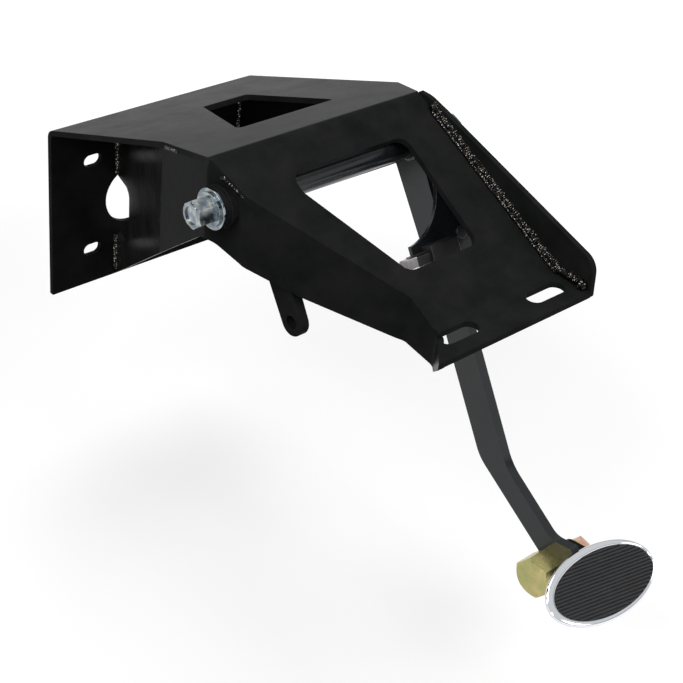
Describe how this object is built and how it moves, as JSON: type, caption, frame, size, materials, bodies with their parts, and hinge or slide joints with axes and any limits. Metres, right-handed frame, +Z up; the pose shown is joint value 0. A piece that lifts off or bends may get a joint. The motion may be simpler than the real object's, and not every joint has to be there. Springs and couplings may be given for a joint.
{
  "type": "brake pedal assembly",
  "caption": "Firewall-mounted hanging brake pedal in a folded and welded steel bracket, with a cross pivot, push-rod lever, cranked arm and oval ribbed rubber pad in a chromed cup.",
  "frame": {"origin": "centre of the push-rod hole in the front face of the firewall plate", "axes": "+X across the car to the right, +Y forward through the firewall along the push-rod hole's axis, +Z up"},
  "size_m": [0.2627, 0.5234, 0.3197],
  "materials": {
    "black_paint": "gloss",
    "clear_zinc": "satin",
    "bushing_bronze": "satin",
    "black_rubber": "matte",
    "switch_plastic": "matte",
    "bright_steel": "satin",
    "yellow_zinc": "satin",
    "rose_zinc": "satin",
    "chrome_plate": "polished"
  },
  "bodies": {
    "bracket": {"main_plate": "black_paint", "left_side_plate": "black_paint", "right_side_plate": "black_paint", "pivot_boss_left": "black_paint", "pivot_boss_right": "black_paint", "pivot_sleeve": "clear_zinc", "pivot_washer_left": "clear_zinc", "pivot_washer_right": "clear_zinc", "pivot_bolt": "clear_zinc", "pivot_nut": "clear_zinc", "stop_bracket": "black_paint", "stop_bumper": "black_rubber", "switch_body": "switch_plastic", "switch_terminals": "bright_steel"},
    "pedal": {"torque_tube": "black_paint", "bushing_left": "bushing_bronze", "bushing_right": "bushing_bronze", "pushrod_lever": "black_paint", "pedal_arm": "black_paint", "pad_hex": "yellow_zinc", "pad_bolt": "rose_zinc", "pad_washer": "yellow_zinc", "pad_bracket": "black_paint", "pad_cup": "chrome_plate", "pad_nut": "yellow_zinc", "pad_rubber": "black_rubber"}
  },
  "joints": [
    {"name": "pedal_pivot", "type": "hinge", "parent": "bracket", "child": "pedal", "pos_m": [0, -0.24458, 0.13804], "axis": [1, 0, 0], "range_deg": [0, 25]}
  ]
}
